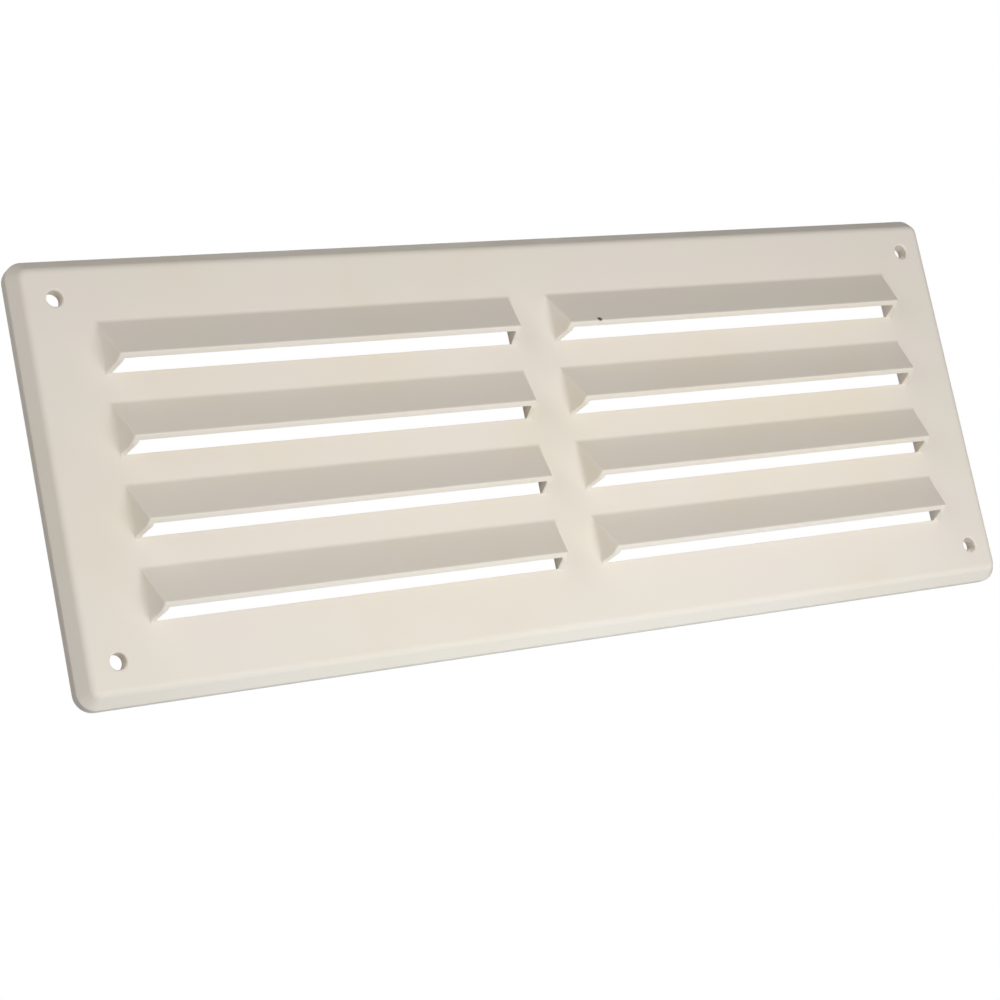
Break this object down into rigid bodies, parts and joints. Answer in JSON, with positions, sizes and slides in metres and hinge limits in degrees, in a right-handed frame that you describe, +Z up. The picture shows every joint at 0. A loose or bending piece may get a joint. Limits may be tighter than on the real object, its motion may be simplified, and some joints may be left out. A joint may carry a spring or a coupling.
{
  "type": "louvre vent plate",
  "caption": "Oblong surface-mounted vent plate with a bevelled rim and side by side columns of fixed downward-facing louvre hoods, moulded in one piece.",
  "frame": {"origin": "on the wall plane, in the middle of the back rim's bottom run, 0.8 mm above the plate's bottom edge", "axes": "+X along the plate, +Y into the wall, +Z up; the louvred face looks along -Y"},
  "size_m": [0.26, 0.0131, 0.1015],
  "materials": {
    "off_white_plastic": "warm off-white moulded plastic with a soft satin sheen"
  },
  "bodies": {
    "root": {"louvre_plate": "off_white_plastic"}
  },
  "joints": []
}
